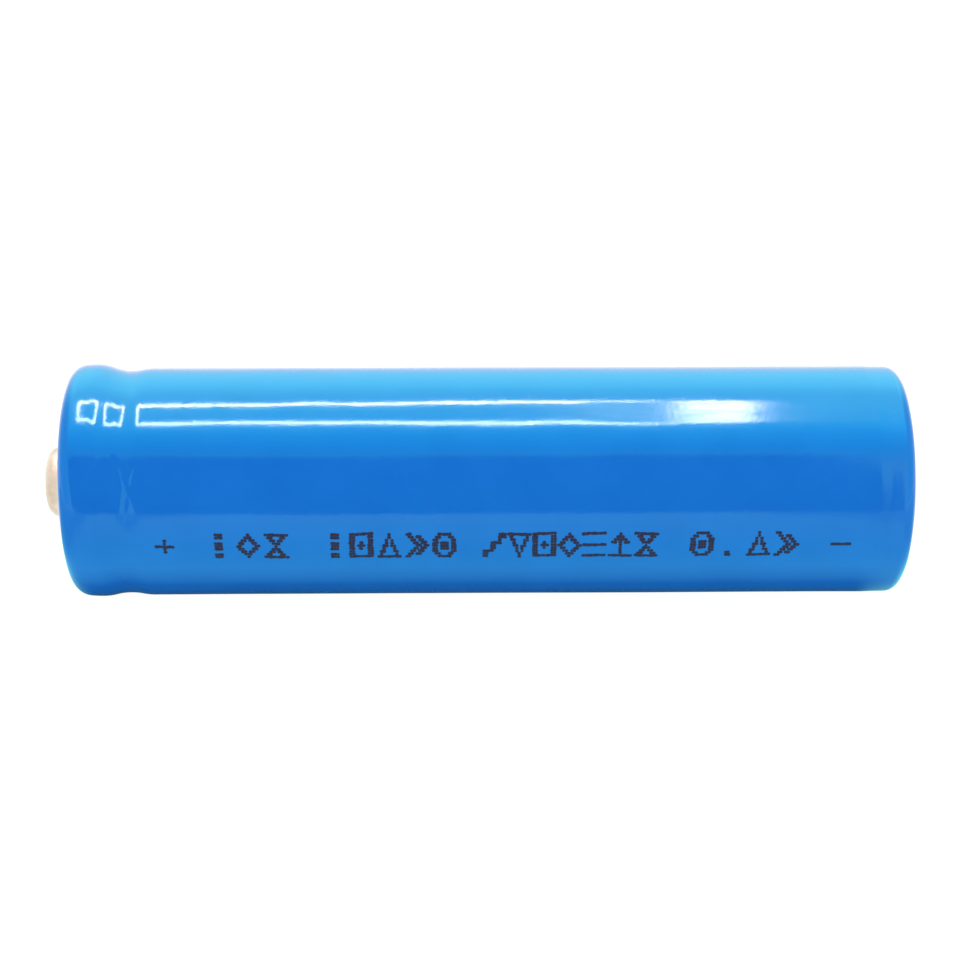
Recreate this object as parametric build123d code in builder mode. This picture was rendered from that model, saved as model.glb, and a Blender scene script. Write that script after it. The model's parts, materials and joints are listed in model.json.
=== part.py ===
"""Button-top lithium-ion cell of the 18 mm class with a protection board, in millimetres.

The cell lies along X with its negative end at the origin and its button at -X. The origin is the
centre of the negative contact's outer face, which lengths along the cell are measured from. A turned
piece is a section in the XY plane, x along the cell and y its radius, revolved about X.
"""

import os
from math import asin, cos, degrees, radians, sin

from build123d import *

# Overall sizes, outside the sleeve
total_length = 69.2
sleeve_radius = 9.25
crown_radius = 9.45
board_end_radius = 9.22
lip_end_radius = 9.20  # the film draws in a little more at the very end
waist_radius = 8.945  # where the waist's two flanks would meet without their round

# Sheet thicknesses
film = 0.13
paper = 0.10
lead = 0.10
tape = 0.06
can_wall = 0.25
button_wall = 0.30
contact_sheet = 0.20
board_thickness = 0.60

# Gaps
snug = 0.02
ridge_gap = 0.05
slot_gap = 0.40

# Places along the cell
contact_rim_x = -contact_sheet
board_outer_x = contact_rim_x - contact_sheet
board_inner_x = board_outer_x - board_thickness
can_floor_x = -1.90
can_height = 64.70
crimp_x = can_floor_x - can_height
bead_x = -62.40
negative_lip_x = contact_rim_x + film
cap_top_x = crimp_x - paper
lead_top_x = cap_top_x - lead
positive_lip_x = lead_top_x - paper - film
button_top_x = -total_length

# Radii
can_radius = 9.10
head_radius = 9.30
contact_radius = 8.20
contact_land_radius = 5.40
board_radius = 8.50
lip_opening_radius = 6.90
button_radius = 2.85
button_flange_radius = 4.20
can_shoulder_round = 1.25
can_floor_round = 0.90

# Positive lead, which runs along the outside of the can to the board
lead_half_width = 1.50
tape_half_width = 1.60
ridge_rise = tape + lead

# Header stack, from the bead outwards
gasket_foot_x = -63.10
gasket_ledge_x = -63.95
disc_rim_thickness = 0.45
ptc_thickness = 0.45
cap_rim_thickness = 0.60
cap_sheet = 0.40
weld_plate_thickness = 0.40
nipple_depth = 0.45
web_thickness = 0.30
stack_radius = 8.10
disc_top_x = gasket_ledge_x - disc_rim_thickness
ptc_top_x = disc_top_x - ptc_thickness
cap_rim_x = ptc_top_x - cap_rim_thickness
weld_plate_x = -62.75
weld_plate_top_x = weld_plate_x - weld_plate_thickness
web_under_x = weld_plate_top_x - nipple_depth
web_top_x = web_under_x - web_thickness

# Wound roll
cathode_thickness = 0.14
anode_thickness = 0.15
separator_thickness = 0.025
winding_gap = 0.01
winding_pitch = cathode_thickness + anode_thickness + 2 * separator_thickness + 4 * winding_gap
first_radius = 1.75
turns = 17
separator_ends = (-60.95, -2.65)
anode_ends = (-60.45, -3.15)
cathode_ends = (-59.95, -3.65)
pin_radius = 1.50
pin_wall = 0.30
tab_half_width = 2.00
cathode_tab_turn = 7
anode_tab_turn = 13
end_disc_radius = 8.40
end_disc_thickness = 0.30

far = 2 * total_length


def round_outline(points, radii, plane=Plane.XY):
    """A face bounded by points joined in order, with a round at each point but the first and last."""
    with BuildSketch(plane) as face:
        with BuildLine():
            FilletPolyline(*points, radius=radii)
            Line(points[-1], points[0])
        make_face()
    return face.sketch


def sharp_outline(points):
    """A face on XY bounded by points joined in order."""
    with BuildSketch(Plane.XY) as face:
        with BuildLine():
            Polyline(*points, close=True)
        make_face()
    return face.sketch


def bent_sheet(points, radii, thickness):
    """The section on XY of a sheet whose middle line joins points, with a round at each bend."""
    with BuildSketch(Plane.XY) as section:
        with BuildLine():
            FilletPolyline(*points, radius=radii)
        trace(line_width=thickness)
    return section.sketch


def ring(at_x, outer, inner=0.0):
    """A disc or washer across the cell at a place along it."""
    with BuildSketch(Plane.YZ.offset(at_x)) as face:
        Circle(outer)
        if inner:
            Circle(inner, mode=Mode.SUBTRACT)
    return face.sketch


def radial_plane(at_x, turn):
    """A plane on the axis that faces outwards, turned about X from +Y towards +Z."""
    outwards = (0, cos(radians(turn)), sin(radians(turn)))
    return Plane(origin=(at_x, 0, 0), x_dir=(1, 0, 0), z_dir=outwards)


def wound_section(start_radius, thickness, whole_turns, at_x):
    """A sheet's spiral: half circles about two centres in turn, each half a pitch larger."""
    with BuildSketch(Plane.YZ.offset(at_x)) as face:
        with BuildLine():
            for face_radius in (start_radius, start_radius + thickness):
                for half in range(2 * whole_turns):
                    centre = (winding_pitch / 2 * (half % 2), 0)
                    start_angle = 180 * (half % 2)
                    CenterArc(centre, face_radius + half * winding_pitch / 2, start_angle, 180)
            for end_radius in (start_radius, start_radius + whole_turns * winding_pitch):
                Line((end_radius, 0), (end_radius + thickness, 0))
        make_face()
    return face.sketch


# ---------------------------------------------------------------------------
# Heat-shrink sleeve: a film that follows the can, bridges the bead and is lifted by the lead
# ---------------------------------------------------------------------------

board_flat_x = -2.10
board_step_x = -2.90
waist_start_reach = 6.09
waist_reach = 4.40
crown_reach = 2.63
waist_start_x = positive_lip_x + waist_start_reach
waist_x = positive_lip_x + waist_reach
crown_x = positive_lip_x + crown_reach
negative_round = 1.00
positive_round = 1.30
soft_round = 6.0
shoulder_round = 5.0
waist_round = 4.6
crown_round = 4.0


def sleeve_section(inset):
    """What lies inside the film's outer face, or inside its inner face when inset by the film."""
    start_x, end_x = negative_lip_x - inset, positive_lip_x + inset
    return round_outline(
        [
            (start_x, 0),
            (start_x, lip_end_radius - inset),
            (board_flat_x, board_end_radius - inset),
            (board_step_x, sleeve_radius - inset),
            (waist_start_x, sleeve_radius - inset),
            (waist_x, waist_radius - inset),
            (crown_x, crown_radius - inset),
            (end_x, crown_radius - inset),
            (end_x, 0),
        ],
        [
            negative_round - inset,
            soft_round,
            soft_round,
            shoulder_round - inset,
            waist_round + inset,
            crown_round - inset,
            positive_round - inset,
        ],
    )


def ridge_section(inset, half_angle):
    """The same for the band that the lead lifts, on the plane where its sweep about X starts."""
    start_x, end_x = negative_lip_x - inset, positive_lip_x + inset
    lifted_body = sleeve_radius + ridge_rise - inset
    lifted_head = crown_radius + ridge_rise - inset
    return round_outline(
        [
            (start_x, 0),
            (start_x, lifted_body),
            (waist_start_x, lifted_body),
            (crown_x, lifted_head),
            (end_x, lifted_head),
            (end_x, 0),
        ],
        [negative_round - inset, soft_round, soft_round, positive_round - inset],
        Plane.XY.rotated((-half_angle, 0, 0)),
    )


def band_angle(half_width):
    """The angle, in degrees, that half a band takes up on the sleeve's ridge."""
    return degrees(asin(half_width / (sleeve_radius + ridge_rise)))


ridge_outer_angle = band_angle(tape_half_width + ridge_gap + film)
ridge_inner_angle = band_angle(tape_half_width + ridge_gap)

with BuildPart() as heat_shrink_sleeve:
    revolve(sleeve_section(0), axis=Axis.X)
    revolve(
        ridge_section(0, ridge_outer_angle), axis=Axis.X, revolution_arc=2 * ridge_outer_angle
    )
    revolve(sleeve_section(film), axis=Axis.X, mode=Mode.SUBTRACT)
    revolve(
        ridge_section(film, ridge_inner_angle),
        axis=Axis.X,
        revolution_arc=2 * ridge_inner_angle,
        mode=Mode.SUBTRACT,
    )
    extrude(ring(0, lip_opening_radius), amount=far, both=True, mode=Mode.SUBTRACT)

# ---------------------------------------------------------------------------
# Positive end, outside the crimp
# ---------------------------------------------------------------------------

washer_radius = 8.00
washer_hole_radius = 4.50
insulating_ring_radius = 7.95

with BuildPart() as cover_washer:
    extrude(ring(lead_top_x, washer_radius, washer_hole_radius), amount=-paper)

with BuildPart() as crimp_insulating_ring:
    extrude(ring(crimp_x, insulating_ring_radius, lip_opening_radius), amount=-paper)

flange_outer_x = lead_top_x - button_wall
button_edge_round = 0.95
button_root_round = 0.35
flange_edge_round = 0.10
vent_count = 3
vent_start = 30
vent_radius = 0.40
vent_rise = 0.55
vent_x = flange_outer_x - vent_rise

with BuildPart() as button_terminal:
    with BuildSketch(Plane.XY):
        with BuildLine():
            rim = [
                (lead_top_x, button_flange_radius),
                (flange_outer_x, button_flange_radius),
                (flange_outer_x, button_radius),
                (button_top_x, button_radius),
                (button_top_x, 0),
            ]
            hollow = [
                (button_top_x + button_wall, 0),
                (button_top_x + button_wall, button_radius - button_wall),
                (lead_top_x, button_radius - button_wall),
            ]
            FilletPolyline(*rim, radius=[flange_edge_round, button_root_round, button_edge_round])
            Line(rim[-1], hollow[0])
            FilletPolyline(*hollow, radius=button_edge_round - button_wall)
            Line(hollow[-1], rim[0])
        make_face()
    revolve(axis=Axis.X)
    for vent in range(vent_count):
        with BuildSketch(radial_plane(vent_x, vent_start + vent * 360 / vent_count)):
            Circle(vent_radius)
        extrude(amount=button_flange_radius, mode=Mode.SUBTRACT)

head_bend_x = -64.60
body_bend_x = -60.90
gentle_bend = 4.0
board_bend = 0.30
lead_reach = 7.20
pad_overlap = 0.50
tape_overlap = 0.05
weld_pad_inner = -2.40
weld_pad_outer = 5.60

with BuildPart() as positive_lead_strip:
    revolve(
        bent_sheet(
            [
                (cap_top_x - lead / 2, weld_pad_outer - pad_overlap),
                (cap_top_x - lead / 2, head_radius + tape + lead / 2),
                (head_bend_x, head_radius + tape + lead / 2),
                (body_bend_x, can_radius + tape + lead / 2),
                (board_inner_x - lead / 2, can_radius + tape + lead / 2),
                (board_inner_x - lead / 2, lead_reach),
            ],
            [can_shoulder_round + tape + lead / 2, gentle_bend, gentle_bend, board_bend],
            lead,
        ),
        axis=Axis.X,
    )
    with Locations((0, crown_radius, 0)):
        Box(far, 2 * crown_radius, 2 * lead_half_width, mode=Mode.INTERSECT)
    with BuildSketch(Plane.YZ.offset(cap_top_x)):
        with Locations(((weld_pad_inner + weld_pad_outer) / 2, 0)):
            Rectangle(weld_pad_outer - weld_pad_inner, 2 * lead_half_width)
    extrude(amount=-lead)

with BuildPart() as lead_backing_tape:
    revolve(
        bent_sheet(
            [
                (crimp_x - tape / 2, insulating_ring_radius + tape_overlap),
                (crimp_x - tape / 2, head_radius + tape / 2),
                (head_bend_x, head_radius + tape / 2),
                (body_bend_x, can_radius + tape / 2),
                (board_step_x, can_radius + tape / 2),
            ],
            [can_shoulder_round + tape / 2, gentle_bend, gentle_bend],
            tape,
        ),
        axis=Axis.X,
    )
    with Locations((0, crown_radius, 0)):
        Box(far, 2 * crown_radius, 2 * tape_half_width, mode=Mode.INTERSECT)

# ---------------------------------------------------------------------------
# Header: the vented cap, its safety devices and the gasket that the crimp holds
# ---------------------------------------------------------------------------

can_crown_x = -64.90
crimp_inner_x = crimp_x + can_wall + snug
gasket_radius = head_radius - can_wall - snug
gasket_crown_x = -65.00
gasket_hip_x = -63.70
gasket_hip_radius = 8.67
gasket_foot_round = 0.15
gasket_crown_round = 1.00
gasket_bore = 6.40
gasket_lip_radius = 6.95
gasket_foot_radius = 7.90

with BuildPart() as sealing_gasket:
    with BuildSketch(Plane.XY):
        with BuildLine():
            outside = [
                (gasket_foot_x, gasket_bore),
                (gasket_foot_x, gasket_foot_radius),
                (gasket_hip_x, gasket_hip_radius),
                (gasket_crown_x, gasket_radius),
                (crimp_inner_x, gasket_radius),
                (crimp_inner_x, gasket_lip_radius),
            ]
            inside = [
                outside[-1],
                (cap_rim_x, gasket_lip_radius),
                (cap_rim_x, stack_radius + snug),
                (gasket_ledge_x, stack_radius + snug),
                (gasket_ledge_x, gasket_bore),
                outside[0],
            ]
            bends = [gasket_foot_round, gasket_foot_round, gasket_crown_round]
            FilletPolyline(*outside, radius=[*bends, can_shoulder_round - can_wall])
            Polyline(*inside)
        make_face()
    revolve(axis=Axis.X)

cap_slots = 4
cap_slot_start = 45
cap_slot_length = 2.20
cap_slot_height = 0.60
cap_slot_drop = 0.75
cap_slot_x = cap_top_x + cap_slot_drop
cap_face_radius = 5.20
cap_edge_radius = 5.50
cap_edge_drop = 0.25
cap_skirt_radius = 6.40
cap_bore_radius = 6.20
cap_bore_waist = 5.95
cap_bore_top = 5.05

with BuildPart() as vented_top_cap:
    revolve(
        sharp_outline(
            [
                (cap_top_x, 0),
                (cap_top_x, cap_face_radius),
                (cap_top_x + cap_edge_drop, cap_edge_radius),
                (cap_rim_x, cap_skirt_radius),
                (cap_rim_x, stack_radius),
                (ptc_top_x, stack_radius),
                (ptc_top_x, cap_bore_radius),
                (cap_rim_x + cap_sheet, cap_bore_waist),
                (cap_top_x + cap_sheet, cap_bore_top),
                (cap_top_x + cap_sheet, 0),
            ]
        ),
        axis=Axis.X,
    )
    for slot in range(cap_slots):
        with BuildSketch(radial_plane(cap_slot_x, cap_slot_start + slot * 360 / cap_slots)):
            RectangleRounded(cap_slot_height, cap_slot_length, cap_slot_height / 3)
        extrude(amount=stack_radius, mode=Mode.SUBTRACT)

ptc_radius = 8.05
ptc_bore = 4.60

with BuildPart() as ptc_ring:
    extrude(ring(ptc_top_x, ptc_radius, ptc_bore), amount=disc_top_x - ptc_top_x)

score_radius = 3.50
score_depth = 0.15
nipple_radius = 1.30
nipple_root_radius = 1.90
nipple_bore_radius = 1.50
nipple_bore_root = 2.10
nipple_sheet = 0.30
web_radius = 5.92
web_step_radius = 6.17
disc_bore_radius = 6.15
disc_bore_root = 5.75

with BuildPart() as burst_disc:
    revolve(
        sharp_outline(
            [
                (weld_plate_top_x, 0),
                (weld_plate_top_x, nipple_radius),
                (web_under_x, nipple_root_radius),
                (web_under_x, web_radius),
                (gasket_ledge_x, web_step_radius),
                (gasket_ledge_x, stack_radius),
                (disc_top_x, stack_radius),
                (disc_top_x, disc_bore_radius),
                (web_top_x, disc_bore_root),
                (web_top_x, score_radius + score_depth),
                (web_top_x + score_depth, score_radius),
                (web_top_x, score_radius - score_depth),
                (web_top_x, nipple_bore_root),
                (weld_plate_top_x - nipple_sheet, nipple_bore_radius),
                (weld_plate_top_x - nipple_sheet, 0),
            ]
        ),
        axis=Axis.X,
    )

weld_plate_radius = 5.50
cid_ring_radius = 5.90
cid_ring_bore = 3.90
plate_holes = 6
plate_hole_circle = 3.00
plate_hole_radius = 0.55

with BuildPart() as cid_insulating_ring:
    revolve(
        sharp_outline(
            [
                (weld_plate_x, weld_plate_radius + snug),
                (weld_plate_x, cid_ring_radius),
                (web_under_x, cid_ring_radius),
                (web_under_x, cid_ring_bore),
                (weld_plate_top_x, cid_ring_bore),
                (weld_plate_top_x, weld_plate_radius + snug),
            ]
        ),
        axis=Axis.X,
    )

with BuildPart() as cid_weld_plate:
    with BuildSketch(Plane.YZ.offset(weld_plate_top_x)):
        Circle(weld_plate_radius)
        with PolarLocations(plate_hole_circle, plate_holes):
            Circle(plate_hole_radius, mode=Mode.SUBTRACT)
    extrude(amount=weld_plate_x - weld_plate_top_x)

# ---------------------------------------------------------------------------
# Can: one drawn steel wall, from the middle of its floor round the bead to the crimped lip
# ---------------------------------------------------------------------------

half_wall = can_wall / 2
bead_floor_radius = 7.80
bead_half_width = 0.45
bead_body_reach = 1.25
bead_head_reach = 1.05
bead_head_radius = 8.92
bead_round = 0.50
bead_shoulder_round = 0.80
can_crown_round = 3.0
crimp_lip_radius = 7.00

with BuildPart() as steel_can:
    revolve(
        bent_sheet(
            [
                (can_floor_x - half_wall, 0),
                (can_floor_x - half_wall, can_radius - half_wall),
                (bead_x + bead_body_reach, can_radius - half_wall),
                (bead_x + bead_half_width, bead_floor_radius),
                (bead_x - bead_half_width, bead_floor_radius),
                (bead_x - bead_head_reach, bead_head_radius),
                (can_crown_x, head_radius - half_wall),
                (crimp_x + half_wall, head_radius - half_wall),
                (crimp_x + half_wall, crimp_lip_radius),
            ],
            [
                can_floor_round - half_wall,
                bead_shoulder_round,
                bead_round,
                bead_round,
                bead_round,
                can_crown_round,
                can_shoulder_round - half_wall,
            ],
            can_wall,
        ),
        axis=Axis.X,
    )

# ---------------------------------------------------------------------------
# Wound roll: two electrodes and two separators in one spiral, round a slit centre pin
# ---------------------------------------------------------------------------

cathode_radius = first_radius + separator_thickness + winding_gap
outer_separator_radius = cathode_radius + cathode_thickness + winding_gap
anode_radius = outer_separator_radius + separator_thickness + winding_gap
separator_length = separator_ends[1] - separator_ends[0]
roll_radius = first_radius + (turns + 1) * winding_pitch

with BuildPart() as inner_separator:
    extrude(
        wound_section(first_radius, separator_thickness, turns, separator_ends[0]),
        amount=separator_length,
    )

with BuildPart() as cathode_sheet:
    extrude(
        wound_section(cathode_radius, cathode_thickness, turns - 1, cathode_ends[0]),
        amount=cathode_ends[1] - cathode_ends[0],
    )

with BuildPart() as outer_separator:
    extrude(
        wound_section(outer_separator_radius, separator_thickness, turns, separator_ends[0]),
        amount=separator_length,
    )

with BuildPart() as anode_sheet:
    extrude(
        wound_section(anode_radius, anode_thickness, turns, anode_ends[0]),
        amount=anode_ends[1] - anode_ends[0],
    )

with BuildPart() as winding_tape:
    extrude(
        ring(anode_ends[0], roll_radius + winding_gap + tape, roll_radius + winding_gap),
        amount=anode_ends[1] - anode_ends[0],
    )

with BuildPart() as centre_pin:
    with BuildSketch(Plane.YZ.offset(cathode_ends[0])):
        Circle(pin_radius)
        Circle(pin_radius - pin_wall, mode=Mode.SUBTRACT)
        with Locations((0, pin_radius)):
            Rectangle(slot_gap, pin_radius, mode=Mode.SUBTRACT)
    extrude(amount=cathode_ends[1] - cathode_ends[0])

# ---------------------------------------------------------------------------
# Tabs from the electrodes, and the discs that keep the roll off the can's ends
# ---------------------------------------------------------------------------

cathode_tab_radius = cathode_radius + cathode_tab_turn * winding_pitch + cathode_thickness / 2
anode_tab_radius = anode_radius + anode_tab_turn * winding_pitch + anode_thickness / 2
upper_disc_x = -61.00
lower_disc_x = -2.30
floor_inner_x = can_floor_x - can_wall
tab_end_radius = 0.40
cathode_tab_bend = 0.40
anode_tab_bend = 0.30
wetting_holes = 3
wetting_hole_circle = 5.00
wetting_hole_radius = 0.70
wetting_hole_start = 210
wetting_hole_arc = 120
tab_window_height = 1.60


def end_disc_face(at_x, tab_radius):
    """An insulating disc with a middle hole, a window for the tab and holes for the electrolyte."""
    with BuildSketch(Plane.YZ.offset(at_x)) as face:
        Circle(end_disc_radius)
        Circle(pin_radius, mode=Mode.SUBTRACT)
        with PolarLocations(
            wetting_hole_circle,
            wetting_holes,
            start_angle=wetting_hole_start,
            angular_range=wetting_hole_arc,
            endpoint=True,
        ):
            Circle(wetting_hole_radius, mode=Mode.SUBTRACT)
        with Locations((0, tab_radius)):
            Rectangle(2 * tab_half_width + slot_gap, tab_window_height, mode=Mode.SUBTRACT)
    return face.sketch


with BuildPart() as upper_insulating_disc:
    extrude(end_disc_face(upper_disc_x, cathode_tab_radius), amount=-end_disc_thickness)

with BuildPart() as lower_insulating_disc:
    extrude(end_disc_face(lower_disc_x, anode_tab_radius), amount=-end_disc_thickness)

with BuildPart() as cathode_tab:
    revolve(
        bent_sheet(
            [
                (cathode_ends[0], cathode_tab_radius),
                (weld_plate_x + lead / 2, cathode_tab_radius),
                (weld_plate_x + lead / 2, tab_end_radius),
            ],
            cathode_tab_bend,
            lead,
        ),
        axis=Axis.X,
    )
    with Locations((0, 0, crown_radius)):
        Box(far, 2 * tab_half_width, 2 * crown_radius, mode=Mode.INTERSECT)

with BuildPart() as anode_tab:
    revolve(
        bent_sheet(
            [
                (anode_ends[1], anode_tab_radius),
                (floor_inner_x - lead / 2, anode_tab_radius),
                (floor_inner_x - lead / 2, tab_end_radius),
            ],
            anode_tab_bend,
            lead,
        ),
        axis=Axis.X,
    )
    with Locations((0, 0, crown_radius)):
        Box(far, 2 * tab_half_width, 2 * crown_radius, mode=Mode.INTERSECT)

# ---------------------------------------------------------------------------
# Protection module between the can's floor and the negative contact
# ---------------------------------------------------------------------------

floor_pad_radius = 8.00
negative_lead_outer = -7.30
negative_lead_inner = 2.50
negative_lead_foot = 2.00
negative_lead_bend = 0.25
board_ring_radius = 8.95
board_ring_bore = 8.15
lead_notch_depth = 2.00

with BuildPart() as floor_pad:
    with BuildSketch(Plane.YZ.offset(can_floor_x)):
        Circle(floor_pad_radius)
        with Locations(((negative_lead_outer + negative_lead_inner) / 2, 0)):
            Rectangle(
                negative_lead_inner - negative_lead_outer + slot_gap,
                2 * lead_half_width + slot_gap,
                mode=Mode.SUBTRACT,
            )
    extrude(amount=paper)

with BuildPart() as negative_lead_strip:
    extrude(
        bent_sheet(
            [
                (can_floor_x + lead / 2, negative_lead_inner),
                (can_floor_x + lead / 2, negative_lead_outer + lead / 2),
                (board_inner_x - lead / 2, negative_lead_outer + lead / 2),
                (board_inner_x - lead / 2, negative_lead_outer + negative_lead_foot),
            ],
            negative_lead_bend,
            lead,
        ),
        amount=lead_half_width,
        both=True,
    )

with BuildPart() as protection_board:
    extrude(ring(board_inner_x, board_radius), amount=board_thickness)

with BuildPart() as board_ring:
    with BuildSketch(Plane.YZ.offset(can_floor_x)):
        Circle(board_ring_radius)
        Circle(board_ring_bore, mode=Mode.SUBTRACT)
        with Locations((board_radius, 0)):
            Rectangle(lead_notch_depth, 2 * lead_half_width + slot_gap, mode=Mode.SUBTRACT)
    extrude(amount=board_inner_x - can_floor_x)

chip_height = 0.75
chip_standoff = 0.08
chip_bevel = 0.12
leg_sheet = 0.12
leg_root = 0.20  # how far a leg starts inside its chip
leg_shelf = 0.15
leg_foot = 0.35


def leg_section(middle_y, side, body_width, leg_span, at_z):
    """One bent leg of a chip, on a plane across Z: out of its side, down and along the board."""
    points = [
        (board_inner_x - chip_height / 2, middle_y + side * (body_width / 2 - leg_root)),
        (board_inner_x - chip_height / 2, middle_y + side * (body_width / 2 + leg_shelf)),
        (board_inner_x - leg_sheet / 2, middle_y + side * (leg_span / 2 - leg_foot)),
        (board_inner_x - leg_sheet / 2, middle_y + side * leg_span / 2),
    ]
    with BuildSketch(Plane.XY.offset(at_z)) as section:
        with BuildLine():
            FilletPolyline(*points, radius=leg_sheet)
        trace(line_width=leg_sheet)
    return section.sketch


def leg_places(middle_z, count, pitch):
    """Places along Z of one side's legs."""
    return [middle_z + (number - (count - 1) / 2) * pitch for number in range(count)]


ic_y, ic_z = 1.9, 3.6
ic_width, ic_length, ic_leg_span = 1.60, 2.90, 2.90
ic_legs, ic_leg_pitch, ic_leg_half_width = 3, 0.95, 0.20

with BuildPart() as protection_ic:
    with BuildSketch(Plane.YZ.offset(board_inner_x - chip_standoff)):
        with Locations((ic_y, ic_z)):
            Rectangle(ic_width, ic_length)
    extrude(amount=chip_standoff - chip_height)
    chamfer(faces().sort_by(Axis.X)[0].edges(), length=chip_bevel)
    for place in leg_places(ic_z, ic_legs, ic_leg_pitch):
        for side in (-1, 1):
            section = leg_section(ic_y, side, ic_width, ic_leg_span, place)
            extrude(section, amount=ic_leg_half_width, both=True)

mosfet_y, mosfet_z = 0.6, -3.1
mosfet_width, mosfet_length, mosfet_leg_span = 4.40, 3.00, 6.40
mosfet_legs, mosfet_leg_pitch, mosfet_leg_half_width = 4, 0.65, 0.125

with BuildPart() as power_mosfet:
    with BuildSketch(Plane.YZ.offset(board_inner_x - chip_standoff)):
        with Locations((mosfet_y, mosfet_z)):
            Rectangle(mosfet_width, mosfet_length)
    extrude(amount=chip_standoff - chip_height)
    chamfer(faces().sort_by(Axis.X)[0].edges(), length=chip_bevel)
    for place in leg_places(mosfet_z, mosfet_legs, mosfet_leg_pitch):
        for side in (-1, 1):
            section = leg_section(mosfet_y, side, mosfet_width, mosfet_leg_span, place)
            extrude(section, amount=mosfet_leg_half_width, both=True)

chip_length = 1.60
chip_width = 0.80
metal_end = 0.30
metal_proud = 0.03


def chip_bodies(places):
    """The plain middles of two-ended chips on the board's inner face."""
    with BuildSketch(Plane.YZ.offset(board_inner_x)) as faces_on_board:
        with Locations(*places):
            Rectangle(chip_length, chip_width - 2 * metal_proud)
    return faces_on_board.sketch


def chip_ends(places):
    """Their metal ends, which stand a little proud of the middles."""
    reach = (chip_length - metal_end) / 2
    with BuildSketch(Plane.YZ.offset(board_inner_x)) as faces_on_board:
        with Locations(*[(y + side * reach, z) for y, z in places for side in (-1, 1)]):
            Rectangle(metal_end, chip_width)
    return faces_on_board.sketch


resistor_places = [(-2.2, 2.6), (-2.2, 4.4)]
resistor_height = 0.45

with BuildPart() as chip_resistors:
    extrude(chip_bodies(resistor_places), amount=metal_proud - resistor_height)
    extrude(chip_ends(resistor_places), amount=-resistor_height)

capacitor_places = [(-2.0, 6.0), (4.9, 4.4)]
capacitor_height = 0.70

with BuildPart() as chip_capacitors:
    extrude(chip_bodies(capacitor_places), amount=metal_proud - capacitor_height)
    extrude(chip_ends(capacitor_places), amount=-capacitor_height)

land_skirt = 0.40
land_draw = 0.20
land_edge_round = 0.15
land_root_round = 0.10
contact_edge_round = 0.08

with BuildPart() as negative_contact:
    with BuildSketch(Plane.XY):
        with BuildLine():
            outer_face = [
                (0, 0),
                (0, contact_land_radius),
                (contact_rim_x, contact_land_radius + land_skirt),
                (contact_rim_x, contact_radius),
                (board_outer_x, contact_radius),
            ]
            inner_face = [
                (board_outer_x, contact_land_radius + land_draw),
                (contact_rim_x, contact_land_radius - land_draw),
                (contact_rim_x, 0),
            ]
            FilletPolyline(*outer_face, radius=[land_edge_round, land_root_round, contact_edge_round])
            Line(outer_face[-1], inner_face[0])
            FilletPolyline(*inner_face, radius=land_root_round)
            Line(inner_face[-1], outer_face[0])
        make_face()
    revolve(axis=Axis.X)

# ---------------------------------------------------------------------------
# One STEP file for each piece
# ---------------------------------------------------------------------------

pieces = {
    "heat_shrink_sleeve": heat_shrink_sleeve,
    "cover_washer": cover_washer,
    "crimp_insulating_ring": crimp_insulating_ring,
    "button_terminal": button_terminal,
    "positive_lead_strip": positive_lead_strip,
    "lead_backing_tape": lead_backing_tape,
    "sealing_gasket": sealing_gasket,
    "vented_top_cap": vented_top_cap,
    "ptc_ring": ptc_ring,
    "burst_disc": burst_disc,
    "cid_insulating_ring": cid_insulating_ring,
    "cid_weld_plate": cid_weld_plate,
    "steel_can": steel_can,
    "inner_separator": inner_separator,
    "cathode_sheet": cathode_sheet,
    "outer_separator": outer_separator,
    "anode_sheet": anode_sheet,
    "winding_tape": winding_tape,
    "centre_pin": centre_pin,
    "upper_insulating_disc": upper_insulating_disc,
    "lower_insulating_disc": lower_insulating_disc,
    "cathode_tab": cathode_tab,
    "anode_tab": anode_tab,
    "floor_pad": floor_pad,
    "negative_lead_strip": negative_lead_strip,
    "protection_board": protection_board,
    "board_ring": board_ring,
    "protection_ic": protection_ic,
    "power_mosfet": power_mosfet,
    "chip_resistors": chip_resistors,
    "chip_capacitors": chip_capacitors,
    "negative_contact": negative_contact,
}

os.makedirs("parts", exist_ok=True)
for name, piece in pieces.items():
    piece.part.label = name
    export_step(piece.part, f"parts/{name}.step")
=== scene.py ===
import json
import math

import bpy
import numpy as np
from mathutils import Matrix, Vector


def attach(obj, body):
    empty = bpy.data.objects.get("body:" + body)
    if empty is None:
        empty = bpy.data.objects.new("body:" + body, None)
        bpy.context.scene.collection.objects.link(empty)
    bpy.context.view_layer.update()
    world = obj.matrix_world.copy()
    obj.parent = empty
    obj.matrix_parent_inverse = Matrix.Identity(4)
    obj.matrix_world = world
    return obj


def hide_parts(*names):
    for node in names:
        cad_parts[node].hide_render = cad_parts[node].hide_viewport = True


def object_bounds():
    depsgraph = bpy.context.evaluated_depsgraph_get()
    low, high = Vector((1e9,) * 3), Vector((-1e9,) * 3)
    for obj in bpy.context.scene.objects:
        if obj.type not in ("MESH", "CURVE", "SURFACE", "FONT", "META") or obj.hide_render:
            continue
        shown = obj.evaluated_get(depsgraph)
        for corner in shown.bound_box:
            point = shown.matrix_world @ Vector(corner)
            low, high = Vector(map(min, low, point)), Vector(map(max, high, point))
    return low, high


# Looks for the button-top cell: shrink sleeve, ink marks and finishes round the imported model.
# The cell lies along X, button at -X, negative end at the origin. Lengths here are millimetres
# unless a name says otherwise, and MM turns them into the scene's metres.

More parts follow.
